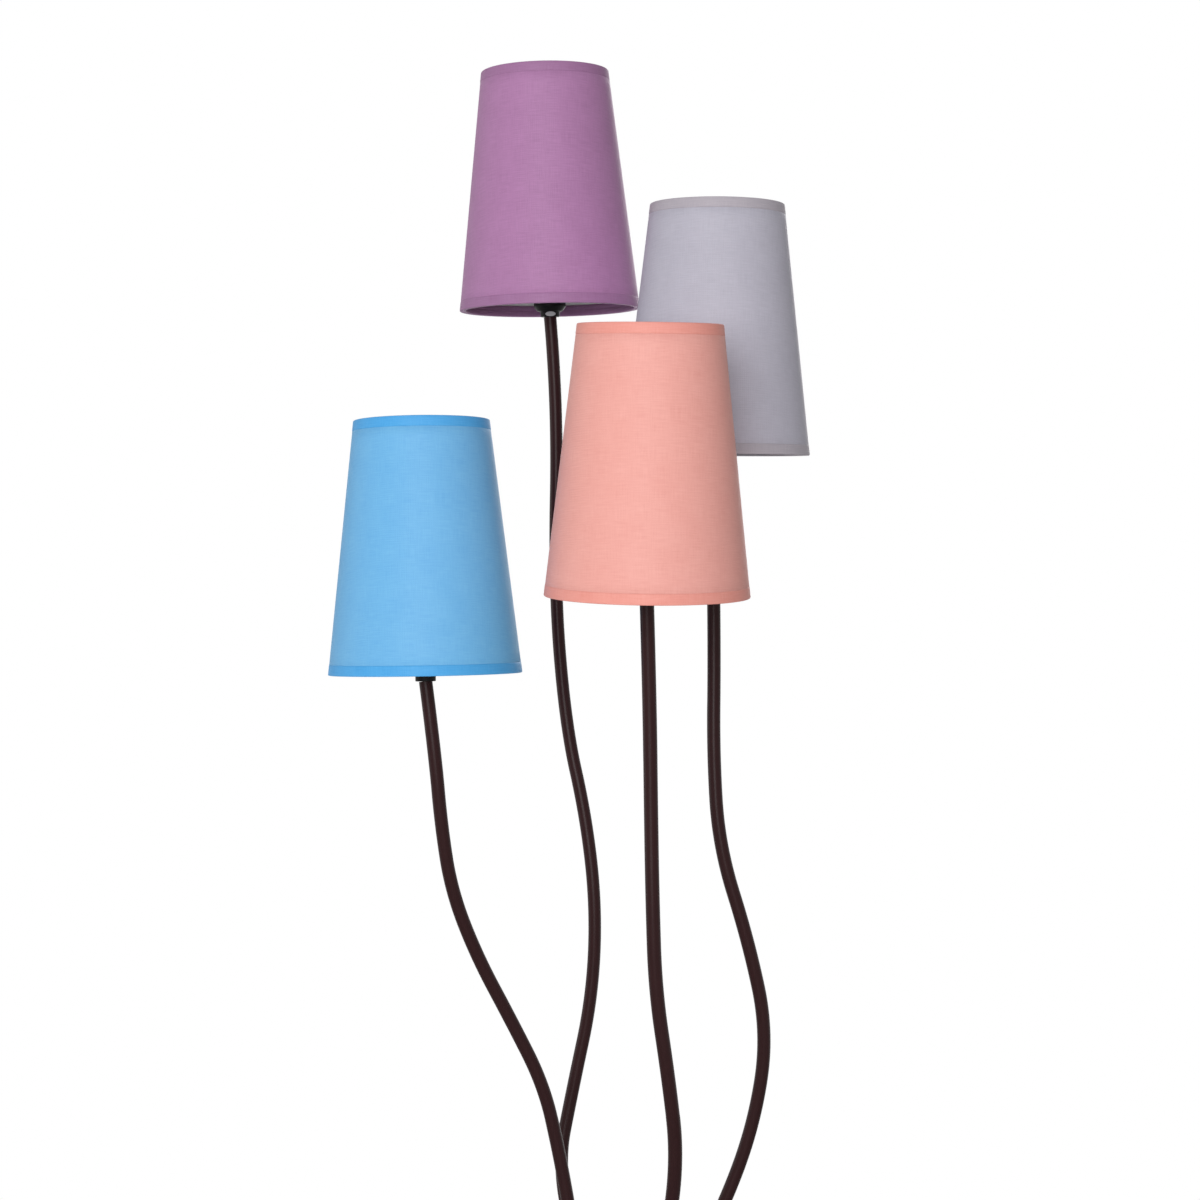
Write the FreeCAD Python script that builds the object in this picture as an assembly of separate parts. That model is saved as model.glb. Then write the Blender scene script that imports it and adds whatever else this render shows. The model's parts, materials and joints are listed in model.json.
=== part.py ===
"""Tree floor lamp: four flexible arms rise from a hub on a pole, each with a small tapered fabric shade.

Millimetres, +Z up. The origin is the centre of the base's underside, on the floor.
"""
import FreeCAD, Part
import math
import os

V = FreeCAD.Vector
UP = V(0, 0, 1)

# ---- base: a felt pad, a cover plate, an iron ballast and a spun steel cover ----
cover_radius = 140.0
pad_set_in = 4.0                 # from the cover's rim to the pad's edge
pad_thickness = 2.5
plate_set_in = 0.8               # from the inside of the cover to the plate's edge
plate_thickness = 1.5
cover_wall = 1.2
cover_rim_height = 18.0          # the upright rim of the cover
cover_shoulder = 6.0             # the rounding between rim and top, in radius and in height
cover_crown_height = 5.5         # rise from the shoulder to the flat seat of the pole
pole_seat_radius = 30.0
ballast_set_in = 10.0            # from the cover's rim to the ballast's edge
ballast_thickness = 18.0
ballast_boss_radius = 26.0
nut_recess_radius = 20.0
nut_recess_depth = 19.0
screw_circle_radius = 110.0
screw_angles = (60.0, 180.0, 300.0)
screw_radius = 2.0
screw_head_radius = 3.5
screw_length = 11.5

# ---- pole and hub ----
pole_length = 520.0
pole_radius = 11.0
pole_wall = 1.5
insert_length = 14.0             # threaded plugs pressed into the ends of the pole
nipple_radius = 5.0              # M10 hollow threaded tube, also the thread of the arms' feet
nipple_bore = 3.6
nut_width = 14.0                 # across the flats
nut_height = 5.0
nipple_past_nut = 1.0
hub_radius = 34.0
hub_wall = 4.0
hub_height = 60.0
hub_edge = 4.0                   # the chamfer round the top
hub_top_thickness = 14.0
hub_floor_thickness = 4.0
foot_depth = 22.0                # how far the arms' feet reach below the hub's top
nut_seat = 14.0                  # from an arm's foot to the spot face that its nut pulls against
spot_face_radius = 9.0
block_size = V(22, 16, 12)       # terminal block

# ---- arms: flexible metal hose in a smooth sleeve, stiff between three bends ----
arm_radius = 5.0
arm_bore = 3.6
cup_start = 2.5                  # a cup's rim lies this far past the centre of its ball
bend_share = 0.45                # the share of the shorter run that a bend takes up
neck_run = 17.0                  # straight end of an arm below its lampholder

# ---- lampholder, in the head's own frame: its axis is Z, zero at the shade's lower rim ----
neck_drop = 6.5                  # the neck ends this far below the shade's rim
neck_length = 5.0
neck_radius = 7.5
neck_below_ball = 2.5            # from the neck's end down to the centre of the ball
cap_cone_radius = 10.0
cap_cone_height = 4.0
cap_radius = 12.5
cap_height = 20.5                # from the neck's end to the joint with the socket body
cap_wall = 1.4
grip_width = 8.0                 # the oval pad of the cap's locking screw
grip_height = 3.6
grip_proud = 0.5
socket_skirt_radius = 13.0
socket_skirt_height = 11.0
flange_radius = 17.0
flange_height = 2.0
thread_radius = 13.9
thread_height = 19.0
thread_pitch = 2.5
thread_depth = 0.8
socket_bore = 8.0
socket_floor = 8.0
clamp_ring_radius = 18.5
clamp_ring_height = 7.0

# ---- bulb: small screw base, ball-shaped ----
bulb_base_radius = 6.9
bulb_collar_radius = 10.5
bulb_collar_height = 9.0
bulb_radius = 22.5

# ---- shade: fabric laminated on a liner, hemmed round two wire hoops ----
shade_bottom_radius = 70.5
shade_top_radius = 49.6
shade_height = 184.6
cloth_wall = 1.2
trim_height = 8.0                # the doubled edge band, top and bottom
trim_proud = 0.3
hem_height = 5.0
hem_wall = 0.6
wire_radius = 1.2
spider_angles = (90.0, 210.0, 330.0)
fitter_ring_radius = 17.6
fitter_ring_thickness = 2.0

# ---- foot switch and cable gland, in the base ----
switch_distance = 85.0           # in front of the pole
switch_radius = 12.0
switch_wall = 2.0
switch_height = 21.2
switch_lip = 3.5
button_radius = 8.0
button_proud = 5.5
button_flange_radius = 9.5
button_flange_height = 3.0
button_travel = 3.0
spring_radius = 6.5
spring_wire = 0.6
spring_turns = 5
gland_height = 13.0
gland_flange_radius = 7.0
gland_flange_thickness = 3.0
gland_nose = 7.0
gland_nose_radius = 5.4
gland_barrel_radius = 6.0
gland_barrel_length = 16.0
gland_bore = 3.6
gland_nut_width = 15.0
gland_nut_set_in = 1.8           # from the outside of the cover to the nut
pole_lead_radius = 2.0
pole_lead_bend = 12.0
pole_lead_height = 9.0
arm_lead_radius = 1.3
arm_lead_rise = 9.0

# ---- clearances ----
fit = 0.05                       # radial, between pieces that turn, slide or screw in each other
play = 0.1                       # between faces that turn over each other
gap = 0.3                        # between pieces that don't touch

# Each arm: points of its centre line (x, y, height above its foot), the run that holds its middle
# bend, and how the lampholder and shade lean, in degrees to the right and to the back.
ARMS = {
    "violet": {
        "route": [(-4, 13.5, 0), (-20, 44, 75), (-46, 75, 155), (-33, 86, 220), (-18, 90, 290),
                  (-15, 93, 360), (-23, 101, 430), (-39, 112, 500), (-48, 122, 610),
                  (-45, 126, 750)],
        "neck": (-51, 125, 816), "middle_run": 6, "lean": (-1.2, -0.1)},
    "grey": {
        "route": [(13.5, 3, 0), (40, 9, 70), (79, 13, 145), (103, 14, 210), (113, 10, 280),
                  (98, 7, 350), (76, 9, 420), (72, 15, 490), (73, 21, 560), (72, 25, 645)],
        "neck": (73, 27, 701), "middle_run": 5, "lean": (0.5, -0.3)},
    "blue": {
        "route": [(-13, -2, 0), (-25, 8, 65), (-33, 16, 135), (-43, 18, 190), (-54, 15, 240),
                  (-78, 9, 290), (-103, 0, 340), (-121, -9, 390), (-128, -15, 440),
                  (-132, -17, 490)],
        "neck": (-139, -13.5, 541), "middle_run": 5, "lean": (-0.9, 2.8)},
    "pink": {
        "route": [(4, -13.5, 0), (16, -44, 70), (35, -87, 155), (42, -105, 220),
                  (35, -116, 280), (26, -121, 340), (24, -120, 400), (23, -116, 460),
                  (22, -114, 540)],
        "neck": (20, -116.5, 602), "middle_run": 5, "lean": (0.6, -2.6)},
}
FOOT_RUN = 1                     # the run that holds each arm's lowest bend

# ---- sizes and heights that follow ----
pad_radius = cover_radius - pad_set_in
plate_radius = cover_radius - cover_wall - plate_set_in
ballast_radius = cover_radius - ballast_set_in
plate_bottom = pad_thickness
plate_top = plate_bottom + plate_thickness
cover_top = plate_bottom + cover_rim_height + cover_shoulder + cover_crown_height
boss_top = cover_top - cover_wall
nut_seat_height = plate_top + nut_recess_depth
pole_top = cover_top + pole_length
hub_floor_top = pole_top + hub_floor_thickness
hub_top = pole_top + hub_height
foot_height = hub_top - foot_depth
hub_nipple_top = hub_floor_top + nut_height + nipple_past_nut
cap_top = cap_height - neck_drop
flange_bottom = cap_top + socket_skirt_height
flange_top = flange_bottom + flange_height
socket_top = flange_top + thread_height
fitter_ring_bottom = flange_top + play
fitter_ring_top = fitter_ring_bottom + fitter_ring_thickness
hoop_inset = cloth_wall + fit + wire_radius
hem_depth = hoop_inset + wire_radius + fit + hem_wall
hoop_height = hem_wall + fit + wire_radius


def turned(*profile):
    """A solid of revolution about Z from its corners, (radius, height), in order round the section."""
    corners = [V(radius, 0, height) for radius, height in profile]
    section = Part.Face(Part.makePolygon(corners + corners[:1]))
    return section.revolve(V(), UP, 360)


def rod(radius, start, end):
    """A round bar between two points."""
    along = end - start
    return Part.makeCylinder(radius, along.Length, start, along)


def disc(radius, bottom, top, x=0.0, y=0.0):
    """An upright round bar."""
    return rod(radius, V(x, y, bottom), V(x, y, top))


def hexagon(width, start, end):
    """A hexagonal bar between two points, with its width across the flats."""
    along = end - start
    corner = width / math.sqrt(3)
    turns = [math.radians(60 * step) for step in range(7)]
    outline = Part.makePolygon([V(corner * math.cos(t), corner * math.sin(t), 0) for t in turns])
    bar = Part.Face(outline).extrude(V(0, 0, along.Length))
    bar.Placement = FreeCAD.Placement(start, FreeCAD.Rotation(UP, along))
    return bar


def block(size, centre, bottom):
    """A box with its centre in plan and the height of its underside."""
    return Part.makeBox(size.x, size.y, size.z, V(centre.x - size.x / 2, centre.y - size.y / 2, bottom))


def path_edges(points, largest_bend=None):
    """Straight runs between the points, joined by tangent arcs as large as the runs allow."""
    edges = []
    here = points[0]
    for before, corner, after in zip(points, points[1:], points[2:]):
        run_in, run_out = corner - before, after - corner
        half_turn = run_in.getAngle(run_out) / 2
        taken = bend_share * min(run_in.Length, run_out.Length)
        if largest_bend:
            taken = min(taken, largest_bend * math.tan(half_turn))
        run_in.normalize()
        run_out.normalize()
        radius = taken / math.tan(half_turn)
        inward = (run_out - run_in).normalize()
        middle = corner + inward * (radius / math.cos(half_turn) - radius)
        start, end = corner - run_in * taken, corner + run_out * taken
        edges.append(Part.LineSegment(here, start).toShape())
        edges.append(Part.Arc(start, middle, end).toShape())
        here = end
    edges.append(Part.LineSegment(here, points[-1]).toShape())
    return edges


def piped(radius, edges):
    """A solid round bar along a path of edges."""
    first = edges[0]
    start = first.valueAt(first.FirstParameter)
    along = first.tangentAt(first.FirstParameter)
    circle = Part.Wire(Part.makeCircle(radius, start, along))
    return Part.Wire(edges).makePipeShell([circle], True, False)


def saved(name, shape):
    shape.exportStep(os.path.join("parts", name + ".step"))
    print(f"{name}: {len(shape.Solids)} solids, {shape.Volume:.0f} mm3, valid {shape.isValid()}")


# ---- base ----

def cover_line(inset):
    """One face of the cover's wall: up the rim, round the shoulder and in to the nipple's hole."""
    corner, rim_top = cover_radius - cover_shoulder, plate_bottom + cover_rim_height
    bend = cover_shoulder - inset
    half_way = bend * math.sqrt(0.5)
    foot = V(cover_radius - inset, 0, plate_bottom)
    bend_start = V(corner + bend, 0, rim_top)
    bend_middle = V(corner + half_way, 0, rim_top + half_way)
    bend_end = V(corner, 0, rim_top + bend)
    seat = V(pole_seat_radius, 0, cover_top - inset)
    hole = V(nipple_radius + fit, 0, cover_top - inset)
    return [
        Part.makeLine(foot, bend_start), Part.Arc(bend_start, bend_middle, bend_end).toShape(),
        Part.makeLine(bend_end, seat), Part.makeLine(seat, hole)]


def base_cover():
    outside, inside = cover_line(0.0), cover_line(cover_wall)
    joins = [Part.makeLine(outside[end].Vertexes[end].Point, inside[end].Vertexes[end].Point)
             for end in (0, -1)]
    section = Part.Face(Part.Wire(Part.__sortEdges__(outside + inside + joins)))
    shell = section.revolve(V(), UP, 360)
    shell = shell.cut(disc(button_radius + gap, 0, cover_top, 0, -switch_distance))
    gland_axis = V(0, 0, gland_height), V(0, 2 * cover_radius, gland_height)
    return shell.cut(rod(gland_barrel_radius + fit, *gland_axis))


def base_ballast():
    body = turned(
        (nipple_radius + fit, nut_seat_height), (nipple_radius + fit, boss_top),
        (ballast_boss_radius, boss_top), (ballast_boss_radius, plate_top + ballast_thickness),
        (ballast_radius, plate_top + ballast_thickness),
        (ballast_radius, plate_top), (nut_recess_radius, plate_top), (nut_recess_radius, nut_seat_height))
    switch_y = -switch_distance
    body = body.cut(disc(switch_radius + gap, 0, cover_top, 0, switch_y))
    channel = V(3 * pole_lead_radius, switch_distance, pole_lead_height)
    body = body.cut(block(channel, V(0, switch_y / 2), plate_top))
    pocket_front = cover_radius - gland_barrel_length - 3 * gap
    pocket = V(gland_nut_width + 5, 2 * (cover_radius - pocket_front), 2 * ballast_thickness)
    body = body.cut(block(pocket, V(0, cover_radius), plate_top - gap))
    for x, y in screw_places():
        body = body.cut(disc(screw_radius + fit, 0, plate_bottom + screw_length + 1, x, y))
    return body


def screw_places():
    turns = [math.radians(angle) for angle in screw_angles]
    return [(screw_circle_radius * math.cos(t), screw_circle_radius * math.sin(t)) for t in turns]


def plate_screw(slack=0.0):
    """A countersunk screw at the middle, its head flush with the plate; with slack, its hole."""
    tip = plate_bottom + screw_length
    return turned(
        (0, plate_bottom), (screw_head_radius + slack, plate_bottom), (screw_radius + slack, plate_top),
        (screw_radius + slack, tip), (0, tip))


def at_screws(shape):
    return [shape.translated(V(x, y, 0)) for x, y in screw_places()]


def base_plate():
    plate = disc(plate_radius, plate_bottom, plate_top)
    return plate.cut(Part.makeCompound(at_screws(plate_screw(fit))))


def nipple(bottom, top):
    return turned((nipple_bore, bottom), (nipple_radius, bottom), (nipple_radius, top), (nipple_bore, top))


def lock_nut(start, along):
    """A hexagonal nut on a threaded tube, from a point in the direction that the tube runs."""
    along = V(along).normalize()
    end = start + along * nut_height
    return hexagon(nut_width, start, end).cut(rod(nipple_radius + fit, start - along, end + along))


def lock_nuts():
    nuts = [lock_nut(V(0, 0, nut_seat_height - nut_height), UP), lock_nut(V(0, 0, hub_floor_top), UP)]
    for arm in arms.values():
        foot, along = arm["points"][0], arm["foot_axis"]
        nuts.append(lock_nut(foot + along * (nut_seat - nut_height), along))
    return Part.makeCompound(nuts)


# ---- pole and hub ----

def pole_insert(bottom):
    top = bottom + insert_length
    bore, outside = nipple_radius + fit, pole_radius - pole_wall - fit
    return turned((bore, bottom), (outside, bottom), (outside, top), (bore, top))


def pole():
    inside = pole_radius - pole_wall
    return turned((inside, cover_top), (pole_radius, cover_top), (pole_radius, pole_top), (inside, pole_top))


def hub_floor():
    bore, edge = nipple_radius + fit, hub_radius - hub_wall - fit
    return turned((bore, pole_top), (edge, pole_top), (edge, hub_floor_top), (bore, hub_floor_top))


def hub_body():
    inside, ceiling = hub_radius - hub_wall, hub_top - hub_top_thickness
    shell = turned(
        (inside, pole_top), (hub_radius, pole_top), (hub_radius, hub_top - hub_edge),
        (hub_radius - hub_edge, hub_top), (0, hub_top), (0, ceiling), (inside, ceiling))
    for arm in arms.values():
        foot, along = arm["points"][0], arm["foot_axis"]
        shell = shell.cut(rod(arm_radius + fit, foot, foot + along * 2 * foot_depth))
        shell = shell.cut(rod(spot_face_radius, foot, foot + along * nut_seat))
    return shell


def terminal_block():
    body = block(block_size, V(), hub_nipple_top)
    screw_row = block_size.x / 2 - 2 * arm_lead_radius
    way_bottom = hub_nipple_top + block_size.z / 2
    for x in (-screw_row, 0, screw_row):
        body = body.cut(disc(arm_lead_radius, way_bottom, foot_height, x, -block_size.y / 3))
    return body


# ---- arms ----

def planned(name, plan):
    """An arm's points, bends and head placement, worked out from its plan."""
    right, back = (math.tan(math.radians(angle)) for angle in plan["lean"])
    axis = V(right, back, 1).normalize()
    lift = V(0, 0, foot_height)
    neck = V(*plan["neck"]) + lift
    points = [V(*point) + lift for point in plan["route"]] + [neck - axis * neck_run, neck]
    bends = [(points[run] + points[run + 1]) / 2 for run in (FOOT_RUN, plan["middle_run"])] + [neck]
    rim = neck + axis * (neck_drop + neck_below_ball)
    head = FreeCAD.Placement(rim, FreeCAD.Rotation(UP, axis))
    foot_axis = (points[1] - points[0]).normalize()
    print(f"{name}: bends at {[tuple(round(c, 2) for c in bend) for bend in bends]}, rim {tuple(rim)}")
    return {"points": points, "bends": bends, "head": head, "foot_axis": foot_axis, "axis": axis,
            "cuts": [FOOT_RUN, plan["middle_run"]]}


def stretch_edges(points, start_run, end_run):
    """The arm's path between two bends, each in the middle of its run, with the whole arm's arcs."""
    edges = path_edges(points)
    first = 0 if start_run is None else 2 * start_run
    last = len(edges) - 1 if end_run is None else 2 * end_run
    kept = edges[first:last + 1]
    if start_run is not None:
        centre = (points[start_run] + points[start_run + 1]) / 2
        start = centre + (points[start_run + 1] - centre).normalize() * cup_start
        kept[0] = Part.LineSegment(start, kept[0].Vertexes[-1].Point).toShape()
    if end_run is not None:
        centre = (points[end_run] + points[end_run + 1]) / 2
        kept[-1] = Part.LineSegment(kept[-1].Vertexes[0].Point, centre).toShape()
    return kept


def arm_stretch(arm, start_run, end_run):
    """A hollow stretch of arm: a cup at its lower end, unless that is the foot, and a ball at its top."""
    points = arm["points"]
    edges = stretch_edges(points, start_run, end_run)
    end = edges[-1].Vertexes[-1].Point
    along = (end - edges[-1].Vertexes[0].Point).normalize()
    tube = piped(arm_radius, edges).cut(piped(arm_bore, edges))
    ball_end = Part.makeSphere(arm_radius, end, along, 0, 90, 360)
    body = tube.fuse(ball_end.cut(rod(arm_bore, end - along, end + along * arm_radius)))
    length = sum(edge.Length for edge in edges)
    section = math.pi * (arm_radius ** 2 - arm_bore ** 2)
    print(f"arm stretch {length:.1f} mm, volume over section x length {tube.Volume / section / length:.4f}")
    if start_run is not None:
        ball = (points[start_run] + points[start_run + 1]) / 2
        body = body.cut(Part.makeSphere(arm_radius + fit, ball))
    return body


# ---- lampholder and bulb, in the head's own frame ----

def holder_cap():
    neck_top = neck_length - neck_drop
    shoulder = neck_top + cap_cone_height
    hollow = cap_radius - cap_wall
    body = turned(
        (arm_bore, -neck_drop), (neck_radius, -neck_drop), (neck_radius, neck_top),
        (cap_cone_radius, neck_top), (cap_radius, shoulder), (cap_radius, cap_top), (hollow, cap_top),
        (hollow, shoulder + cap_wall), (arm_bore, neck_top + cap_wall))
    grip = Part.makeCylinder(grip_height / 2, neck_radius + grip_proud, V(), V(0, -1, 0))
    stretched = FreeCAD.Matrix(grip_width / grip_height, 0, 0, 0, 0, 1, 0, 0, 0, 0, 1, 0, 0, 0, 0, 1)
    grip = grip.transformGeometry(stretched)
    grip = grip.translated(V(0, 0, neck_length / 2 - neck_drop))
    room = disc(neck_radius - cap_wall, -2 * neck_drop, cap_top)
    body = body.fuse(grip.cut(room))
    return body.cut(Part.makeSphere(arm_radius + fit, V(0, 0, -neck_drop - neck_below_ball)))


def thread_steps(radius, bottom, top):
    """The outline of a rounded thread, as a row of shallow grooves."""
    steps = []
    height = bottom + thread_pitch
    while height + thread_pitch / 2 < top:
        groove = (radius - thread_depth, height + thread_pitch / 4)
        steps += [(radius, height), groove, (radius, height + thread_pitch / 2)]
        height += thread_pitch
    return steps


def holder_body():
    floor = cap_top + socket_floor
    return turned(
        (0, cap_top), (socket_skirt_radius, cap_top), (socket_skirt_radius, flange_bottom),
        (flange_radius, flange_bottom), (flange_radius, flange_top), (thread_radius, flange_top),
        *thread_steps(thread_radius, flange_top, socket_top),
        (thread_radius, socket_top), (socket_bore, socket_top), (socket_bore, floor), (0, floor))


def clamp_ring():
    bore, bottom = thread_radius + fit, fitter_ring_top + play
    ring = turned(
        (bore, bottom), (clamp_ring_radius, bottom), (clamp_ring_radius, bottom + clamp_ring_height * 0.3),
        (bore + 2, bottom + clamp_ring_height), (bore, bottom + clamp_ring_height))
    notch = block(V(1.5, 1.5, 2 * clamp_ring_height), V(), bottom - clamp_ring_height / 2)
    notch.translate(V(clamp_ring_radius, 0, 0))
    for step in range(12):
        ring = ring.cut(notch.rotated(V(), UP, 30 * step + 15))
    return ring


def bulb_base():
    bottom = cap_top + socket_floor + gap
    top = socket_top + gap
    tip = bulb_base_radius * 0.45
    return turned(
        (0, bottom), (tip, bottom), (bulb_base_radius, bottom + tip), (bulb_base_radius, top), (0, top))


def bulb_glass():
    """A white collar and a ball, hollow enough to weigh what a small lamp does."""
    bottom = socket_top + gap
    centre = bottom + bulb_collar_height + bulb_radius * 0.88
    ball = Part.makeSphere(bulb_radius, V(0, 0, centre))
    collar_top = centre - bulb_radius * 0.6
    collar = turned(
        (0, bottom), (bulb_collar_radius, bottom), (bulb_radius * 0.8, collar_top), (0, collar_top))
    hollow = Part.makeSphere(bulb_radius - 1.5, V(0, 0, centre))
    return ball.fuse(collar).cut(hollow)


# ---- shade, in the head's own frame ----

def cloth_radius(height):
    return shade_bottom_radius - (shade_bottom_radius - shade_top_radius) * height / shade_height


def shade_cloth():
    top = shade_height
    upper_trim = top - trim_height
    outside = [
        (cloth_radius(0) + trim_proud, 0), (cloth_radius(trim_height) + trim_proud, trim_height),
        (cloth_radius(trim_height), trim_height), (cloth_radius(upper_trim), upper_trim),
        (cloth_radius(upper_trim) + trim_proud, upper_trim), (cloth_radius(top) + trim_proud, top)]
    inside = [
        (cloth_radius(top) - hem_depth, top), (cloth_radius(top - hem_height) - hem_depth, top - hem_height),
        (cloth_radius(top - hem_height) - cloth_wall, top - hem_height),
        (cloth_radius(hem_height) - cloth_wall, hem_height),
        (cloth_radius(hem_height) - hem_depth, hem_height), (cloth_radius(0) - hem_depth, 0)]
    cloth = turned(*outside, *inside)
    for height in (hoop_height, top - hoop_height):
        cloth = cloth.cut(hoop(height, fit))
    for angle in spider_angles:
        cloth = cloth.cut(spider_arm(angle, fit))
    return cloth


def hoop(height, slack=0.0):
    return Part.makeTorus(cloth_radius(height) - hoop_inset, wire_radius + slack, V(0, 0, height), UP)


def spider_arm(angle, slack=0.0):
    """A wire from the fitter ring down to the lower hoop; with slack, the room that it needs."""
    outer = V(cloth_radius(hoop_height) - hoop_inset, 0, hoop_height)
    inner = V(fitter_ring_radius, 0, fitter_ring_bottom + fitter_ring_thickness / 2)
    return rod(wire_radius + slack, inner, outer).rotated(V(), UP, angle)


def shade_frame():
    bore = thread_radius + play
    ring = turned(
        (bore, fitter_ring_bottom), (fitter_ring_radius, fitter_ring_bottom),
        (fitter_ring_radius, fitter_ring_top), (bore, fitter_ring_top))
    arms_of_wire = [spider_arm(angle) for angle in spider_angles]
    turning_room = disc(bore, 0, shade_height)
    lower = hoop(hoop_height).multiFuse(arms_of_wire).cut(turning_room).fuse(ring)
    return Part.makeCompound([lower, hoop(shade_height - hoop_height)])


# ---- foot switch, gland and leads ----

def switch_housing():
    bottom, top = plate_top, plate_top + switch_height
    inner, floor = switch_radius - switch_wall, plate_top + switch_wall
    lip = button_radius + fit
    body = turned(
        (0, bottom), (switch_radius, bottom), (switch_radius, top), (lip, top), (lip, top - switch_lip),
        (inner, top - switch_lip), (inner, floor), (0, floor))
    return body.translated(V(0, -switch_distance, 0))


def button_heights():
    """The button's flange, from below to above, and its top."""
    flange_top = plate_top + switch_height - switch_lip - gap
    share = (switch_distance - pole_seat_radius) / (cover_radius - pole_seat_radius)
    crown = cover_top - cover_crown_height * share
    return flange_top - button_flange_height, flange_top, crown + button_proud


def switch_button():
    flange_bottom_height, flange_top_height, top = button_heights()
    edge = button_radius * 0.2
    return turned(
        (0, flange_bottom_height), (button_flange_radius, flange_bottom_height),
        (button_flange_radius, flange_top_height), (button_radius, flange_top_height),
        (button_radius, top - edge), (button_radius - edge, top), (0, top)
    ).translated(V(0, -switch_distance, 0))


def switch_spring():
    """A coil of half circles, each tilted by half the pitch, so that they meet without a kink."""
    bottom = plate_top + switch_wall + spring_wire + fit
    top = button_heights()[0] - spring_wire - fit
    rise = (top - bottom) / (2 * spring_turns)
    bulge = math.hypot(spring_radius, rise / 2)
    edges = []
    for step in range(2 * spring_turns):
        side = -1 if step % 2 else 1
        start = V(side * spring_radius, 0, bottom + step * rise)
        middle = V(0, side * bulge, bottom + (step + 0.5) * rise)
        end = V(-side * spring_radius, 0, bottom + (step + 1) * rise)
        edges.append(Part.Arc(start, middle, end).toShape())
    return piped(spring_wire, edges).translated(V(0, -switch_distance, 0))


def cable_gland():
    """A flange and a rounded nose outside the cover, and a threaded barrel through it, along +Y."""
    nose = gland_flange_thickness + gland_nose
    barrel = -gland_barrel_length
    body = turned(
        (gland_bore, barrel), (gland_barrel_radius, barrel), (gland_barrel_radius, 0),
        (gland_flange_radius, 0), (gland_flange_radius, gland_flange_thickness), (gland_nose_radius, nose),
        (gland_bore, nose))
    return body.rotated(V(), V(1, 0, 0), -90).translated(V(0, cover_radius, gland_height))


def gland_nut():
    start = V(0, cover_radius - gland_nut_set_in, gland_height)
    end = start - V(0, nut_height, 0)
    return hexagon(gland_nut_width, start, end).cut(rod(gland_barrel_radius + fit, start, end))


def pole_lead():
    """From the switch along the ballast's channel, then up the pole to the terminal block."""
    start = V(0, -switch_distance + switch_radius, pole_lead_height)
    corner = V(0, 0, pole_lead_height)
    return piped(pole_lead_radius, path_edges([start, corner, V(0, 0, hub_nipple_top)], pole_lead_bend))


def arm_lead(arm):
    """From the terminal block into the arm's foot and up to its lowest bend."""
    foot, first = arm["points"][:2]
    across = V(foot.x, foot.y, 0).normalize() * (block_size.y / 2 - 2 * arm_lead_radius)
    start = across + V(0, 0, hub_nipple_top + block_size.z)
    above = start + V(0, 0, arm_lead_rise)
    end = arm["bends"][0] - (arm["bends"][0] - first).normalize() * arm_radius
    return piped(arm_lead_radius, path_edges([start, above, foot, first, end]))


# ---- build ----

arms = {name: planned(name, plan) for name, plan in ARMS.items()}


def build():
    os.makedirs("parts", exist_ok=True)
    saved("base_pad", disc(pad_radius, 0, pad_thickness))
    saved("base_plate", base_plate())
    saved("plate_screws", Part.makeCompound(at_screws(plate_screw())))
    saved("base_ballast", base_ballast())
    saved("base_cover", base_cover())
    saved("base_nipple", nipple(nut_seat_height - nut_height - nipple_past_nut, cover_top + insert_length))
    saved("pole", pole())
    saved("pole_inserts", Part.makeCompound([pole_insert(cover_top), pole_insert(pole_top - insert_length)]))
    saved("hub_nipple", nipple(pole_top - insert_length, hub_nipple_top))
    saved("hub_floor", hub_floor())
    saved("hub_body", hub_body())
    saved("lock_nuts", lock_nuts())
    saved("terminal_block", terminal_block())
    saved("pole_lead", pole_lead())
    saved("arm_leads", Part.makeCompound([arm_lead(arm) for arm in arms.values()]))
    saved("cable_gland", cable_gland())
    saved("gland_nut", gland_nut())
    saved("switch_housing", switch_housing())
    saved("switch_button", switch_button())
    saved("switch_spring", switch_spring())
    head_pieces = {
        "holder_{}_cap": holder_cap(), "holder_{}_body": holder_body(), "holder_{}_ring": clamp_ring(),
        "bulb_{}_base": bulb_base(), "bulb_{}_glass": bulb_glass(),
        "shade_{}_cloth": shade_cloth(), "shade_{}_frame": shade_frame()}
    for name, arm in arms.items():
        foot_cut, middle_cut = arm["cuts"]
        saved(f"arm_{name}_lower", arm_stretch(arm, None, foot_cut))
        saved(f"arm_{name}_middle", arm_stretch(arm, foot_cut, middle_cut))
        saved(f"arm_{name}_upper", arm_stretch(arm, middle_cut, None))
        for title, piece in head_pieces.items():
            placed = piece.copy()
            placed.Placement = arm["head"]
            saved(title.format(name), placed)


build()
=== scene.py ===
# %% [markdown]
# # A tree floor lamp with four fabric shades
# Four flexible arms rise from a hub on a pole, and each carries a small tapered shade in its own colour.
# The lamp's sizes are settled in CAD, and this notebook loads that model as a frame and dresses it with
# smooth arms, woven shades with rolled edges, moulded lampholders, and a finish for each piece that stays as
# it is.

# %% Load the CAD frame
import bmesh
import bpy
import json
import math
from mathutils import Matrix, Vector


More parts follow.
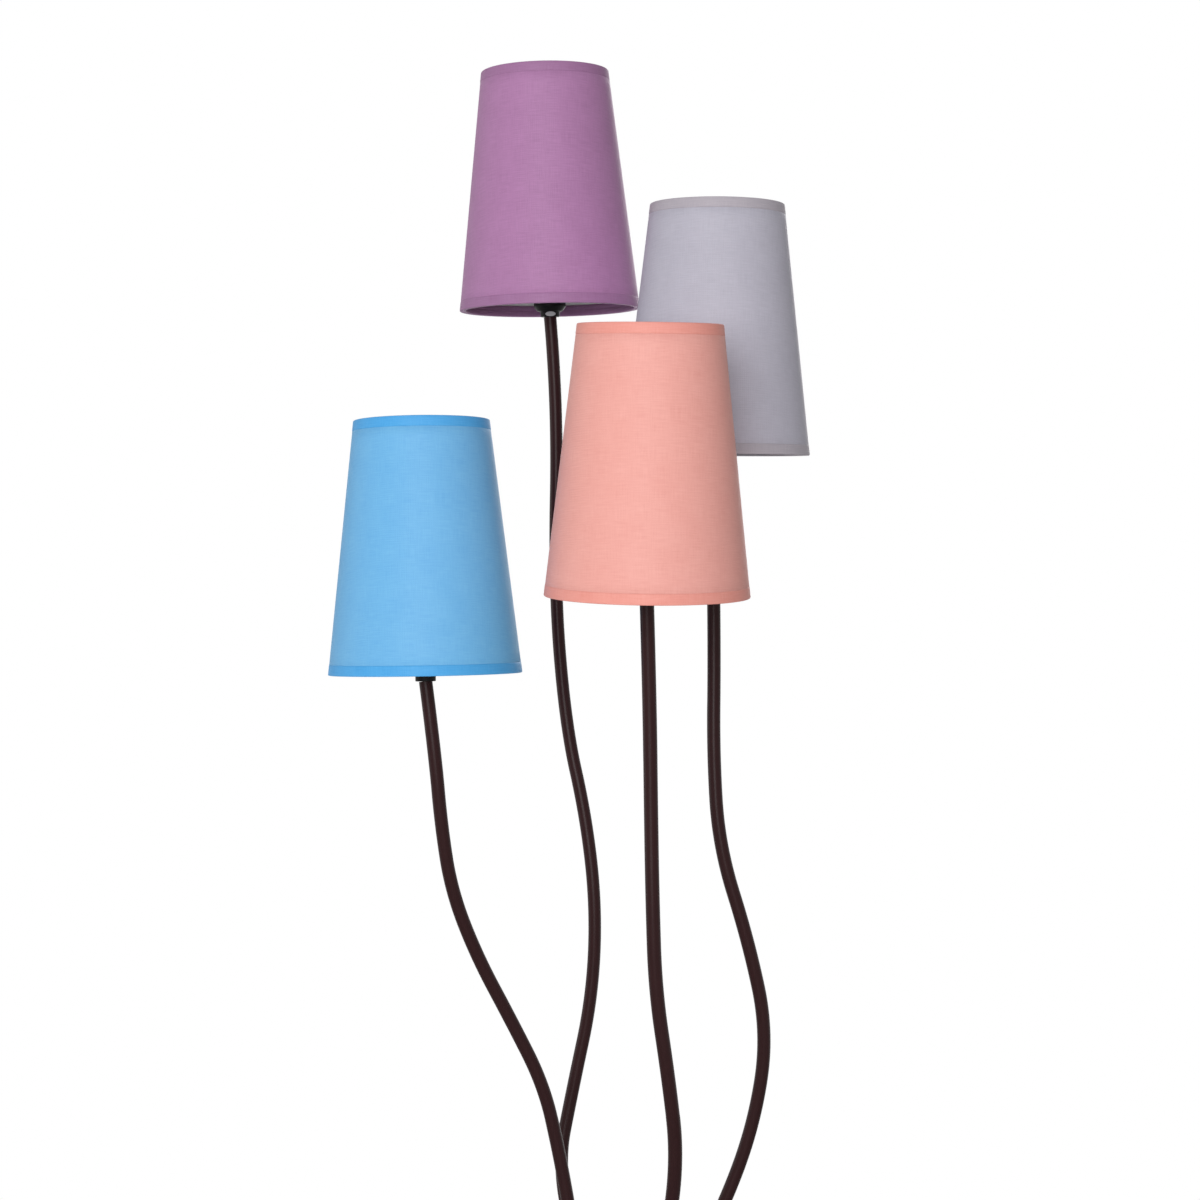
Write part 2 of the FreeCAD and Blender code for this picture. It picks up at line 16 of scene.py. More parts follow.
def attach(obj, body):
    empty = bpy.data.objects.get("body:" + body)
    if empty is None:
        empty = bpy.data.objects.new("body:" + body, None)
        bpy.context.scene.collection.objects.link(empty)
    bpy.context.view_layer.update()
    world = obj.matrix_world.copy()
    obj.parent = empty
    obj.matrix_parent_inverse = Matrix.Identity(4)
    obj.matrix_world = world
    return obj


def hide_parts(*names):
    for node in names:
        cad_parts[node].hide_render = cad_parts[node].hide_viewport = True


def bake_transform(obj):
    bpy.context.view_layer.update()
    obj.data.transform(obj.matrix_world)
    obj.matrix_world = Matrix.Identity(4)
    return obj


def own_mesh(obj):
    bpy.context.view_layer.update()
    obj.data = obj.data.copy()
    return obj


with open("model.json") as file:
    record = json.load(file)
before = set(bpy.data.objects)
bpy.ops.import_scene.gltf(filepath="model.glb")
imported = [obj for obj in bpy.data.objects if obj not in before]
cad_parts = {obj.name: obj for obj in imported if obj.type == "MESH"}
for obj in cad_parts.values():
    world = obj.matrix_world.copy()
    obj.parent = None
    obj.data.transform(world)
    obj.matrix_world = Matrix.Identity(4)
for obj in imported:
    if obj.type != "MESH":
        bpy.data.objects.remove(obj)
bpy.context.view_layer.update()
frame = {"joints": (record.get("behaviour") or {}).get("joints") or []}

joints = {joint["name"]: joint for joint in frame["joints"]}

# %% [markdown]
# ## The camera
# The photograph looks straight along +Y from a little below the tallest shade, a little more than one and a
# half metres away, with a slight downward tilt. A camera could be aimed with a constraint, but a plain
# place and angle say the same in two lines, and leave nothing that would follow the lamp about.

# %% Camera at the photograph's place
lens = bpy.data.cameras.new("camera")
lens.sensor_width = 36.0
lens.lens = 69.0
camera = bpy.data.objects.new("camera", lens)
camera.location = (-0.012, -1.685, 1.268)
tilt_down = 2.54
camera.rotation_euler = (math.radians(90 - tilt_down), 0, 0)
bpy.context.scene.collection.objects.link(camera)
bpy.context.scene.camera = camera
print("camera height", camera.location.z, "m")

# %% [markdown]
# ## Colour and node helpers
# Colours are picked from a screen, as sRGB hex values, but the shader works in linear light, so one
# function turns the one into the other. Every material is a small graph of nodes. One function adds a node,
# sets its own settings, and fills each input with a value or with a link from another node. Most finishes
# of this lamp are made the same way: a noise that is fixed to the piece drives a colour between two tones,
# a roughness between two values, and sometimes a relief. Each of those steps is a function too.

# %% Helpers for materials
def linear(hex_code):
    """A linear RGBA colour from an sRGB hex value."""
    shares = [int(hex_code[i:i + 2], 16) / 255 for i in (1, 3, 5)]
    return [s / 12.92 if s <= 0.04045 else ((s + 0.055) / 1.055) ** 2.4 for s in shares] + [1.0]


def add(tree, kind, inputs=None, **settings):
    """Adds a node with its settings; an input's value may be a socket of another node."""
    made = tree.nodes.new("ShaderNode" + kind)
    for name, value in settings.items():
        setattr(made, name, value)
    for name, value in (inputs or {}).items():
        if isinstance(value, bpy.types.NodeSocket):
            tree.links.new(value, made.inputs[name])
        else:
            made.inputs[name].default_value = value
    return made


def new_material(name):
    """A material, and its empty graph."""
    material = bpy.data.materials.new(name)
    material.use_nodes = True
    material.node_tree.nodes.clear()
    return material, material.node_tree


def cover_with(tree, looks):
    """Ends a graph with the shader of a solid surface, and gives that shader."""
    shader = add(tree, "BsdfPrincipled", looks)
    add(tree, "OutputMaterial", {"Surface": shader.outputs[0]})
    return shader


print("sky blue cloth is", [round(c, 3) for c in linear("#7ac0ef")], "in linear light")

# %% The steps that most finishes share
def noise(tree, scale, detail=2.0, distortion=0.0):
    """A noise fixed to the piece; a scale for each axis stretches it."""
    where = add(tree, "TexCoord").outputs["Object"]
    if isinstance(scale, tuple):
        where, scale = add(tree, "Mapping", {"Vector": where, "Scale": scale}).outputs[0], 1.0
    return add(tree, "TexNoise", {"Vector": where, "Scale": scale, "Detail": detail,
                                  "Distortion": distortion}).outputs["Fac"]


def two_tone(tree, share, dark_hex, light_hex):
    """A colour that runs from a dark to a light one."""
    return add(tree, "Mix", {"Factor": share, "A": linear(dark_hex), "B": linear(light_hex)},
               data_type="RGBA").outputs["Result"]


def between(tree, share, low, high):
    """A value that runs from a low to a high one."""
    return add(tree, "MapRange", {"Value": share, "To Min": low, "To Max": high}).outputs[0]


def relief(tree, height, strength, distance):
    """The normal of a bumpy surface, whose bumps rise by a strength times a distance in metres."""
    return add(tree, "Bump", {"Height": height, "Strength": strength, "Distance": distance}).outputs[0]


def calculated(tree, operation, first, second):
    """A sum, a product or the like of two values."""
    return add(tree, "Math", {0: first, 1: second}, operation=operation).outputs[0]


print("a noise of scale 500 has a grain of", 1000 / 500, "mm")

# %% [markdown]
# ## Light, background and floor
# The lamp was photographed on pure white, in soft studio light that comes from almost straight in front.
# The white is not made with more light: the world is white only for rays from the camera, and for what
# metal and glass mirror, and much dimmer where it lights the lamp. One large lamp, a little left of the
# camera, makes the soft bright band down each shade. A weak one far to the left lifts the left edges, and
# the right edges fall away into shade. A third, behind, lights only what the camera doesn't see. The floor
# is a plain pale disc.

# %% The world, white to the camera and soft on the lamp
ambient_light = 0.15
world = bpy.data.worlds.new("studio")
bpy.context.scene.world = world
world.use_nodes = True
sky = world.node_tree
sky.nodes.clear()
rays = add(sky, "LightPath")
seen = rays.outputs["Is Camera Ray"]
for other in ("Is Glossy Ray", "Is Transmission Ray"):
    seen = calculated(sky, "MAXIMUM", seen, rays.outputs[other])
strength = between(sky, seen, ambient_light, 1.0)
white = add(sky, "Background", {"Color": linear("#ffffff"), "Strength": strength})
add(sky, "OutputWorld", {"Surface": white.outputs[0]})
bpy.context.scene.view_settings.view_transform = "Standard"
print("ambient light", ambient_light)

# %% Three soft lamps
def soft_lamp(name, place, aim, size, watts):
    """A square area lamp that faces a point."""
    light = bpy.data.lights.new(name, "AREA")
    light.size = size
    light.energy = watts
    lamp = bpy.data.objects.new(name, light)
    lamp.location = place
    lamp.rotation_euler = (Vector(aim) - Vector(place)).to_track_quat("-Z", "Y").to_euler()
    bpy.context.scene.collection.objects.link(lamp)
    return lamp


shades_middle = (0.0, 0.0, 1.3)
lamps = [soft_lamp("key_lamp", (-0.4, -2.9, 1.8), shades_middle, 1.6, 70),
         soft_lamp("side_lamp", (-2.6, 0.3, 1.4), shades_middle, 1.4, 9.5),
         soft_lamp("back_lamp", (0.5, 3.0, 1.9), shades_middle, 1.6, 40)]
print({lamp.name: lamp.data.energy for lamp in lamps}, "W")

# %% The floor
floor_paint, tree = new_material("matt_white_floor")
cover_with(tree, {"Base Color": two_tone(tree, noise(tree, 3.0), "#e9e8e6", "#edecea"), "Roughness": 0.8})

disc = bmesh.new()
bmesh.ops.create_circle(disc, cap_ends=True, segments=128, radius=2.2)
floor_mesh = bpy.data.meshes.new("floor")
disc.to_mesh(floor_mesh)
disc.free()
floor_mesh.materials.append(floor_paint)
floor = bpy.data.objects.new("floor", floor_mesh)
bpy.context.scene.collection.objects.link(floor)
print("floor disc", floor.dimensions.x, "m across")

# %% [markdown]
# ## How a piece is finished
# Every piece below ends the same way. Doubled corners from spinning are merged, the faces are turned to
# point outwards, and shading is smooth except across real edges. The piece then rides on the CAD body that
# carries it, where it is given one, stands for the CAD node that it replaces, and gets its materials.

# %% Helpers for pieces
def mm(*lengths):
    """A point in metres from lengths in millimetres."""
    return Vector(lengths) / 1000


def weld(work):
    """Merges the corners that lie in the same place."""
    bmesh.ops.remove_doubles(work, verts=work.verts, dist=1e-6)


def finished(name, work, body, finishes, stands_for=(), sharp_from=35, turn_out=True):
    """Turns a bmesh into a piece of the lamp."""
    weld(work)
    if turn_out:
        bmesh.ops.recalc_face_normals(work, faces=work.faces)
    for face in work.faces:
        face.smooth = True
    mesh = bpy.data.meshes.new(name)
    work.to_mesh(mesh)
    work.free()
    mesh.set_sharp_from_angle(angle=math.radians(sharp_from))
    for finish in finishes:
        mesh.materials.append(finish)
    piece = bpy.data.objects.new(name, mesh)
    bpy.context.scene.collection.objects.link(piece)
    if body:
        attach(piece, body)
    if stands_for:
        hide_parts(*stands_for)
    return piece


def spin_outline(work, outline, steps, closed=True, turn=360.0):
    """Spins an outline of (radius, height) in millimetres round Z."""
    corners = [work.verts.new(mm(radius, 0, height)) for radius, height in outline]
    runs = list(zip(corners, corners[1:])) + ([(corners[-1], corners[0])] if closed else [])
    lines = [work.edges.new(run) for run in runs]
    bmesh.ops.spin(work, geom=corners + lines, axis=(0, 0, 1), cent=(0, 0, 0), steps=steps,
                   angle=math.radians(turn), use_merge=turn == 360.0)


def soften(work, width, segments=3, from_angle=30):
    """Rounds the edges that turn by more than an angle, by a width in millimetres."""
    weld(work)
    sharp = [edge for edge in work.edges if len(edge.link_faces) == 2
             and edge.calc_face_angle() > math.radians(from_angle)]
    bmesh.ops.bevel(work, geom=sharp, offset=width / 1000, offset_type="OFFSET", segments=segments,
                    profile=0.5, affect="EDGES", material=-1)


def helix(work, section, turns, pitch, steps_a_turn):
    """Sweeps a closed section of (radius, height) in millimetres up a helix, and fills both ends."""
    corners = [work.verts.new(mm(radius, 0, height)) for radius, height in section]
    rim = [work.edges.new(pair) for pair in zip(corners, corners[1:] + corners[:1])]
    work.faces.new(corners[::-1])
    steps = steps_a_turn * turns
    last = bmesh.ops.spin(work, geom=corners + rim, axis=(0, 0, 1), cent=(0, 0, 0), steps=steps,
                          angle=2 * math.pi * turns, dvec=mm(0, 0, pitch * turns / steps),
                          use_merge=False)["geom_last"]
    bmesh.ops.contextual_create(work, geom=[edge for edge in last if isinstance(edge, bmesh.types.BMEdge)])


# %% [markdown]
# ## Woven cloth
# The shades are covered in a plain weave of cotton and polyester, glued to a stiff liner. Its threads lie
# about 0.4 mm apart, which is finer than a pixel of this picture, so the relief is drawn coarser and
# repeats every 1.6 mm. What the eye sees from two metres are the slubs, thicker stretches of thread. They
# are faint level streaks, with fewer upright ones, and are noise stretched along one thread direction or
# the other. The pattern lies on the cloth's own flat cut, in metres, so it follows the cone as real cloth
# does. The cloth is pressed flat when it is glued, so its surface has a dull satin gloss, which shows as a
# pale upright band, and a little sheen from loose fibres.

# %% Cloth in any colour
weave_repeat = 1.6
slub_width, slub_length = 0.7, 13.0
blotch_share = 0.35
waves_a_metre = 20 / (2 * math.pi)  # of a wave texture at scale 1


def woven_cloth(name, light_hex, deep_hex, sheen_hex):
    """A plain weave that runs from a light to a deep thread colour."""
    cloth, tree = new_material(name)
    flat = add(tree, "UVMap", uv_map="flat_cut").outputs["UV"]
    streaks = []
    for across, along, share in ((slub_width, slub_length, 0.7), (slub_length, slub_width, 1.0)):
        stretched = add(tree, "Mapping", {"Vector": flat, "Scale": (1000 / across, 1000 / along, 1.0)})
        streak = add(tree, "TexNoise", {"Vector": stretched.outputs[0], "Scale": 1.0, "Detail": 3.0,
                                        "Roughness": 0.6}, noise_dimensions="2D")
        streaks.append(calculated(tree, "MULTIPLY", streak.outputs["Fac"], share))
    slubs = calculated(tree, "ADD", *streaks)
    blotches = add(tree, "TexNoise", {"Vector": flat, "Scale": 45.0, "Detail": 2.0}, noise_dimensions="2D")
    faint = calculated(tree, "MULTIPLY", blotches.outputs["Fac"], blotch_share)
    uneven = calculated(tree, "ADD", slubs, faint)
    lightness = add(tree, "MapRange", {"Value": uneven, "From Min": 0.65, "From Max": 1.3}).outputs[0]
    bands = 1000 / weave_repeat / waves_a_metre
    threads = [add(tree, "TexWave", {"Vector": flat, "Scale": bands}, bands_direction=way).outputs["Fac"]
               for way in ("X", "Y")]
    weave = calculated(tree, "ADD", calculated(tree, "MULTIPLY", *threads), slubs)
    cover_with(tree, {"Base Color": two_tone(tree, lightness, deep_hex, light_hex), "Roughness": 0.55,
                      "Normal": relief(tree, weave, 0.25, 0.0002), "Specular IOR Level": 0.22,
                      "Sheen Weight": 0.02, "Sheen Roughness": 0.45, "Sheen Tint": linear(sheen_hex)})
    return cloth


print("slubs", slub_width, "by", slub_length, "mm, the weave repeats every", weave_repeat, "mm")

# %% The four colours, and the deeper colour of the doubled edges
cloths = {
    "violet": woven_cloth("woven_cloth_violet", "#bb87b5", "#ac7ba6", "#e2cfe0"),
    "grey": woven_cloth("woven_cloth_grey", "#c4c1ce", "#b8b5c2", "#e4e4e8"),
    "blue": woven_cloth("woven_cloth_blue", "#7ac0ef", "#6bb3e9", "#d4e6f4"),
    "pink": woven_cloth("woven_cloth_pink", "#f3b0a6", "#eaa298", "#f6dcd8"),
}
edge_cloths = {
    "violet": woven_cloth("woven_edge_violet", "#ac7ea8", "#a07099", "#d8c2d6"),
    "grey": woven_cloth("woven_edge_grey", "#beb7bf", "#b0a9b3", "#dcdce0"),
    "blue": woven_cloth("woven_edge_blue", "#5ab2ef", "#4ba6e7", "#bcdcf0"),
    "pink": woven_cloth("woven_edge_pink", "#f2a599", "#ea978b", "#f2cdc8"),
}
print(len(cloths) + len(edge_cloths), "cloths")

# %% [markdown]
# ## Liner
# Behind the cloth is a liner of white PVC foil, calendered smooth between rollers. It is slightly glossy,
# and its thickness varies in a faint mottle of a few millimetres, which shows as a slight change in tone
# and gloss.

# %% White PVC liner
liner, tree = new_material("calendered_pvc_liner")
mottle_scale = 220.0
mottle = noise(tree, mottle_scale, detail=3.0)
cover_with(tree, {"Base Color": two_tone(tree, mottle, "#dcdad6", "#e8e6e3"),
                  "Roughness": between(tree, mottle, 0.42, 0.6)})
print("liner mottle about", round(1000 / mottle_scale, 1), "mm")

# %% [markdown]
# ## The shades' places
# Each shade stands in the frame of its lampholder: its axis is the axis on which it turns, and zero height
# is the shade's lower rim. Both come from the CAD model's joint, so the shade lands exactly where the CAD
# has it. A rotation that takes Z to the joint's axis, followed by the joint's place, is that frame.

# %% A frame for each head, from its joint
COLOURS = ("violet", "grey", "blue", "pink")
heads = {}
for colour in COLOURS:
    turning = joints[colour + "_shade_turn"]
    lean = Vector((0, 0, 1)).rotation_difference(Vector(turning["axis"])).to_matrix().to_4x4()
    heads[colour] = Matrix.Translation(turning["pos_m"]) @ lean


def in_head(work, colour):
    """Stands a bmesh in the frame of its lampholder."""
    bmesh.ops.transform(work, matrix=heads[colour], verts=work.verts)


print({colour: tuple(round(c, 4) for c in heads[colour].translation) for colour in COLOURS})

# %% [markdown]
# ## The cloth of a shade
# A small tapered shade is cut flat from laminated cloth, as a slice of a ring, rolled into a cone and glued
# along one upright lap. It could be modelled flat and rolled by a simulation, but a stiff laminate only
# bends one way, so a spun cone is exactly its shape. Each corner also gets its place on the flat cut,
# worked out by unrolling the cone, so the weave runs true down the front and slants at the sides as it does
# on the real one.

# %% Sizes of a shade, in millimetres
bottom_radius, top_radius, shade_height = 70.5, 49.6, 184.6
taper = (bottom_radius - top_radius) / shade_height
slope = math.atan(taper)
edge_band, edge_proud = 8.0, 0.15
cloth_thickness, rim_gap = 0.9, 0.8


def cloth_radius(height):
    """The outside radius of the cloth at a height above the lower rim."""
    return bottom_radius - taper * height


apex_height = bottom_radius / taper

# %% The flat cut, as the cloth's UV map
def unrolled(turn, radius, height):
    """A place on the cone as it lies on the flat cut, in metres; its height says its radius."""
    reach = (apex_height / 1000 - height) / math.cos(slope)
    flat_turn = turn * math.sin(slope)
    return reach * math.sin(flat_turn), -reach * math.cos(flat_turn)


def lay_flat(work, place=unrolled):
    """Writes each corner's place on the flat cut, which is split at the back."""
    flat_cut = work.loops.layers.uv.new("flat_cut")
    for face in work.faces:
        middle = face.calc_center_median()
        middle_turn = math.atan2(middle.x, -middle.y)
        for loop in face.loops:
            spot = loop.vert.co
            turn = math.atan2(spot.x, -spot.y)
            turn += 2 * math.pi * round((middle_turn - turn) / (2 * math.pi))
            loop[flat_cut].uv = place(turn, spot.xy.length, spot.z)


# %% The cloth cones
def shade_shell(outline):
    """Spins an open outline into a shell round a shade's axis, with its seam at the back."""
    work = bmesh.new()
    spin_outline(work, outline, steps=112, closed=False)
    bmesh.ops.rotate(work, verts=work.verts, matrix=Matrix.Rotation(math.pi / 2, 3, "Z"))
    weld(work)
    return work


def thicken(piece, name, thickness):
    """Gives a sheet a thickness in millimetres, inwards from its outer face."""
    layer = piece.modifiers.new(name, "SOLIDIFY")
    layer.thickness = thickness / 1000
    layer.offset = -1
    return layer


def cloth_cone(colour):
    """The laminated cloth of a shade, with its liner on the inside."""
    rows = 12
    heights = [shade_height * row / rows for row in range(rows + 1)]
    heights[0], heights[-1] = rim_gap, shade_height - rim_gap
    work = shade_shell([(cloth_radius(height), height) for height in heights])
    lay_flat(work)
    in_head(work, colour)
    piece = finished(f"shade_{colour}_cover", work, "shade_" + colour,
                     [cloths[colour], liner], stands_for=[f"shade_{colour}_cloth"])
    laminate = thicken(piece, "laminate", cloth_thickness)
    laminate.material_offset = 1
    laminate.material_offset_rim = 0
    return piece


covers = {colour: cloth_cone(colour) for colour in COLOURS}
print("cloth cones with", len(covers["violet"].data.polygons), "faces each")

# %% [markdown]
# ## Rolled edges
# At both rims the cloth is rolled round a wire hoop and glued down inside. From outside it is a doubled
# band 8 mm tall that looks a little deeper in colour, and at the rim it makes a soft rounded lip. The fold
# could be a torus joined to two strips, but one outline that goes down the outside, round the hoop and up
# the inside, spun round the axis and given the cloth's thickness, has no joins at all. It is an open sheet,
# and for those the operator that turns faces outwards only guesses, so the faces on the rim itself settle
# it.

# %% One rolled edge for each rim
lip_inside, lip_corner = 4.3, 0.8
fold_height, fold_thickness = 8.8, 0.45
arc_steps = 4


def edge_section():
    """The doubled edge, as (depth inside the cloth's surface, distance from the rim)."""
    outside = [(0.05, edge_band), (-edge_proud, edge_band - 1.2), (-edge_proud, edge_band / 2)]
    lip = []
    for middle, start in ((lip_corner - edge_proud, 180), (lip_inside - lip_corner, 270)):
        for step in range(arc_steps + 1):
            angle = math.radians(start + 90 * step / arc_steps)
            lip.append((middle + lip_corner * math.cos(angle), lip_corner * (1 + math.sin(angle))))
    inside = [(3.2, 3.6), (1.7, 5.2), (1.35, fold_height)]
    return outside + lip + inside


def rolled_edge(colour, rim):
    """The lower or upper rolled edge of a shade."""
    rim_height, outwards = (0, -1) if rim == "bottom" else (shade_height, 1)
    outline = []
    for depth, away in edge_section():
        height = rim_height - outwards * away
        outline.append((cloth_radius(height) - depth, height))
    work = shade_shell(outline)
    bmesh.ops.recalc_face_normals(work, faces=work.faces)
    at_rim = min(work.faces, key=lambda face: abs(face.calc_center_median().z - rim_height / 1000))
    if at_rim.normal.z * outwards < 0:
        bmesh.ops.reverse_faces(work, faces=work.faces)
    around = cloth_radius(rim_height) / 1000
    lay_flat(work, lambda turn, radius, height: (turn * around, height + around - radius))
    in_head(work, colour)
    piece = finished(f"shade_{colour}_{rim}_edge", work, "shade_" + colour,
                     [edge_cloths[colour]], turn_out=False)
    thicken(piece, "fold", fold_thickness)
    return piece


edges = {(colour, rim): rolled_edge(colour, rim) for colour in COLOURS for rim in ("bottom", "top")}
print(len(edges), "rolled edges, lip", lip_inside, "mm thick")

# %% [markdown]
# ## The lap at the back
# Where the ends of the cloth meet, one is glued over the other, which shows as one upright step. The
# photograph shows none, so it is at the back of each shade, where an owner would turn it. It is a strip of
# its own that stands proud of the cone, because a cone spun in one piece has no step.

# %% The lap
lap_width, lap_proud, lap_thickness = 9.0, 0.28, 0.5
under_edge = 1.0


def lap(colour):
    """The upper layer of the lap, whose ends reach under the rolled edges."""
    work = bmesh.new()
    foot, head = edge_band - under_edge, shade_height - edge_band + under_edge
    rows = 8
    heights = [foot + (head - foot) * row / rows for row in range(rows + 1)]
    line = [(cloth_radius(height) + lap_proud, height) for height in heights]
    lap_turn = math.degrees(lap_width / cloth_radius(shade_height / 2))
    spin_outline(work, line, steps=5, closed=False, turn=lap_turn)
    bmesh.ops.rotate(work, verts=work.verts, matrix=Matrix.Rotation(math.radians(90 - lap_turn), 3, "Z"))
    lay_flat(work)
    in_head(work, colour)
    piece = finished(f"shade_{colour}_lap", work, "shade_" + colour, [cloths[colour]])
    thicken(piece, "layer", lap_thickness)
    return piece


laps = {colour: lap(colour) for colour in COLOURS}
print("lap", lap_width, "mm wide")

# %% [markdown]
# ## The arms' sleeve
# An arm is a flexible metal hose in a smooth sleeve of soft PVC, extruded in dark brown. The sleeve mirrors
# little, so its specular level is low and the tube's edges stay dark against the white. Extruding leaves a
# faint upright grain, which breaks up the soft highlight.

# %% Brown PVC sleeve
sleeve, tree = new_material("extruded_pvc_brown")
grain_across, grain_along = 1400.0, 60.0
grain = noise(tree, (grain_across, grain_across, grain_along))
cover_with(tree, {"Base Color": two_tone(tree, grain, "#281516", "#351d1e"),
                  "Roughness": between(tree, grain, 0.26, 0.36),
                  "Normal": relief(tree, grain, 0.12, 0.0002), "Specular IOR Level": 0.1})
print("sleeve grain", round(1000 / grain_across, 2), "mm across the tube")

# %% [markdown]
# ## The arms' routes
# The points of each arm are the CAD model's own, in millimetres, with heights above the arm's foot in the
# hub. In CAD they make straight runs and arcs. Here they are the control points of one smooth NURBS curve,
# which passes through the middle of every run, where the CAD puts its bends, with the same direction there.

# %% Points of the arms
foot_height = 590.0
ROUTES = {
    "violet": [(-4, 13.5, 0), (-20, 44, 75), (-46, 75, 155), (-33, 86, 220), (-18, 90, 290),
               (-15, 93, 360), (-23, 101, 430), (-39, 112, 500), (-48, 122, 610), (-45, 126, 750)],
    "grey": [(13.5, 3, 0), (40, 9, 70), (79, 13, 145), (103, 14, 210), (113, 10, 280),
             (98, 7, 350), (76, 9, 420), (72, 15, 490), (73, 21, 560), (72, 25, 645)],
    "blue": [(-13, -2, 0), (-25, 8, 65), (-33, 16, 135), (-43, 18, 190), (-54, 15, 240),
             (-78, 9, 290), (-103, 0, 340), (-121, -9, 390), (-128, -15, 440), (-132, -17, 490)],
    "pink": [(4, -13.5, 0), (16, -44, 70), (35, -87, 155), (42, -105, 220), (35, -116, 280),
             (26, -121, 340), (24, -120, 400), (23, -116, 460), (22, -114, 540)],
}
into_neck = mm(0, 0, 3.6)
MIDDLE_RUN = {"violet": 6, "grey": 5, "blue": 5, "pink": 5}


def route_of(colour):
    """An arm's control points, from the hub to just inside its lampholder's neck."""
    neck = Vector(joints[colour + "_head_tilt"]["pos_m"])
    points = [mm(x, y, foot_height + height) for x, y, height in ROUTES[colour]]
    return points + [neck + heads[colour].to_3x3() @ into_neck]


print({colour: len(route_of(colour)) for colour in COLOURS}, "control points")

# %% A smooth line through a route
def smooth_line(points):
    """The places along a NURBS curve with these control points."""
    curve = bpy.data.curves.new("route", "CURVE")
    curve.dimensions = "3D"
    spline = curve.splines.new("NURBS")
    spline.points.add(len(points) - 1)
    for knot, point in zip(spline.points, points):
        knot.co = (*point, 1.0)
    spline.order_u = 3
    spline.use_endpoint_u = True
    spline.resolution_u = 14
    holder = bpy.data.objects.new("route", curve)
    line = bpy.data.meshes.new_from_object(holder)
    places = [vertex.co.copy() for vertex in line.vertices]
    bpy.data.objects.remove(holder)
    bpy.data.curves.remove(curve)
    bpy.data.meshes.remove(line)
    return places


lines = {colour: smooth_line(route_of(colour)) for colour in COLOURS}
for colour, line in lines.items():
    length = sum((after - before).length for before, after in zip(line, line[1:]))
    print(colour, "arm", round(length * 1000), "mm long,", len(line), "places")

# %% [markdown]
# ## The arms themselves
# Each arm bends at three places: low, half way up, and at its lampholder. The tube is made in three lengths
# that meet half way between the bends, where nothing moves against anything else. The first cut is in the
# fourth run above the hub, and the second is two runs above the middle bend.
# The tube is a round bevel on the smooth line, made a mesh, with its ends filled.

# %% Three lengths of tube for each arm
arm_radius = 5.0
bend_reach = {"arm_low_bend": 0.060, "arm_mid_bend": 0.055, "head_tilt": 0.010}
FIRST_CUT_RUN, RUNS_TO_SECOND_CUT = 3, 2


def tube(line, radius):
    """A closed round tube along places, as a bmesh; the radius is in millimetres."""
    curve = bpy.data.curves.new("tube", "CURVE")
    curve.dimensions = "3D"
    curve.bevel_depth = radius / 1000
    curve.bevel_resolution = 6
    curve.use_fill_caps = True
    spline = curve.splines.new("POLY")
    spline.points.add(len(line) - 1)
    for knot, place in zip(spline.points, line):
        knot.co = (*place, 1.0)
    holder = bpy.data.objects.new("tube", curve)
    mesh = bpy.data.meshes.new_from_object(holder)
    work = bmesh.new()
    work.from_mesh(mesh)
    bpy.data.objects.remove(holder)
    bpy.data.curves.remove(curve)
    bpy.data.meshes.remove(mesh)
    return work


def nearest(line, place):
    """The index of the place on a line that is nearest to a point."""
    return min(range(len(line)), key=lambda index: (line[index] - place).length)


def arm_length(colour, part, line):
    """One length of an arm, a tube along its span of the smooth line."""
    piece = finished(f"hose_{colour}_{part}", tube(line, arm_radius), None, [sleeve],
                     stands_for=[f"arm_{colour}_{part}"], sharp_from=50)
    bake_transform(piece)
    return piece


hoses = []
for colour in COLOURS:
    line, route = lines[colour], route_of(colour)
    cut_runs = (FIRST_CUT_RUN, MIDDLE_RUN[colour] + RUNS_TO_SECOND_CUT)
    cuts = [nearest(line, (route[run] + route[run + 1]) / 2) for run in cut_runs]
    bends = [Vector(joints[f"{colour}_{joint}"]["pos_m"]) for joint in bend_reach]
    bodies = ["stand", f"arm_{colour}_middle", f"arm_{colour}_upper", f"head_{colour}"]
    spans = [line[:cuts[0] + 1], line[cuts[0]:cuts[1] + 1], line[cuts[1]:]]
    for part, span, bend, reach, below, above in zip(
            ("lower", "middle", "upper"), spans, bends, bend_reach.values(), bodies, bodies[1:]):
        hoses.append(arm_length(colour, part, span))
        print(hoses[-1].name, "bends", below, "to", above, "over", round(2000 * reach), "mm")

# %% [markdown]
# ## Black plastic
# The lampholders, the clamp rings and the foot switch are moulded in black heat-proof plastic. The mould
# gives it a fine even texture and a dull satin surface. Handling polishes a few soft spots. The caps are
# almost black in the photograph, so the specular level is low. The pads of the locking screws are grey
# nylon.

# %% Moulded black plastic
black_plastic, tree = new_material("moulded_thermoset_black")
texture_scale = 1800.0
polish = noise(tree, 60.0)
cover_with(tree, {"Base Color": two_tone(tree, polish, "#0e0d0e", "#151415"),
                  "Roughness": between(tree, polish, 0.38, 0.55),
                  "Normal": relief(tree, noise(tree, texture_scale), 0.15, 0.0001),
                  "Specular IOR Level": 0.12})
print("mould texture about", round(1000 / texture_scale, 2), "mm")

# %% Grey nylon, for the locking pads
grey_nylon, tree = new_material("moulded_nylon_grey")
nylon = cover_with(tree, {"Base Color": two_tone(tree, noise(tree, 900.0), "#a9a9ab", "#b6b6b8"),
                          "Roughness": 0.5})
print("nylon roughness", nylon.inputs["Roughness"].default_value)

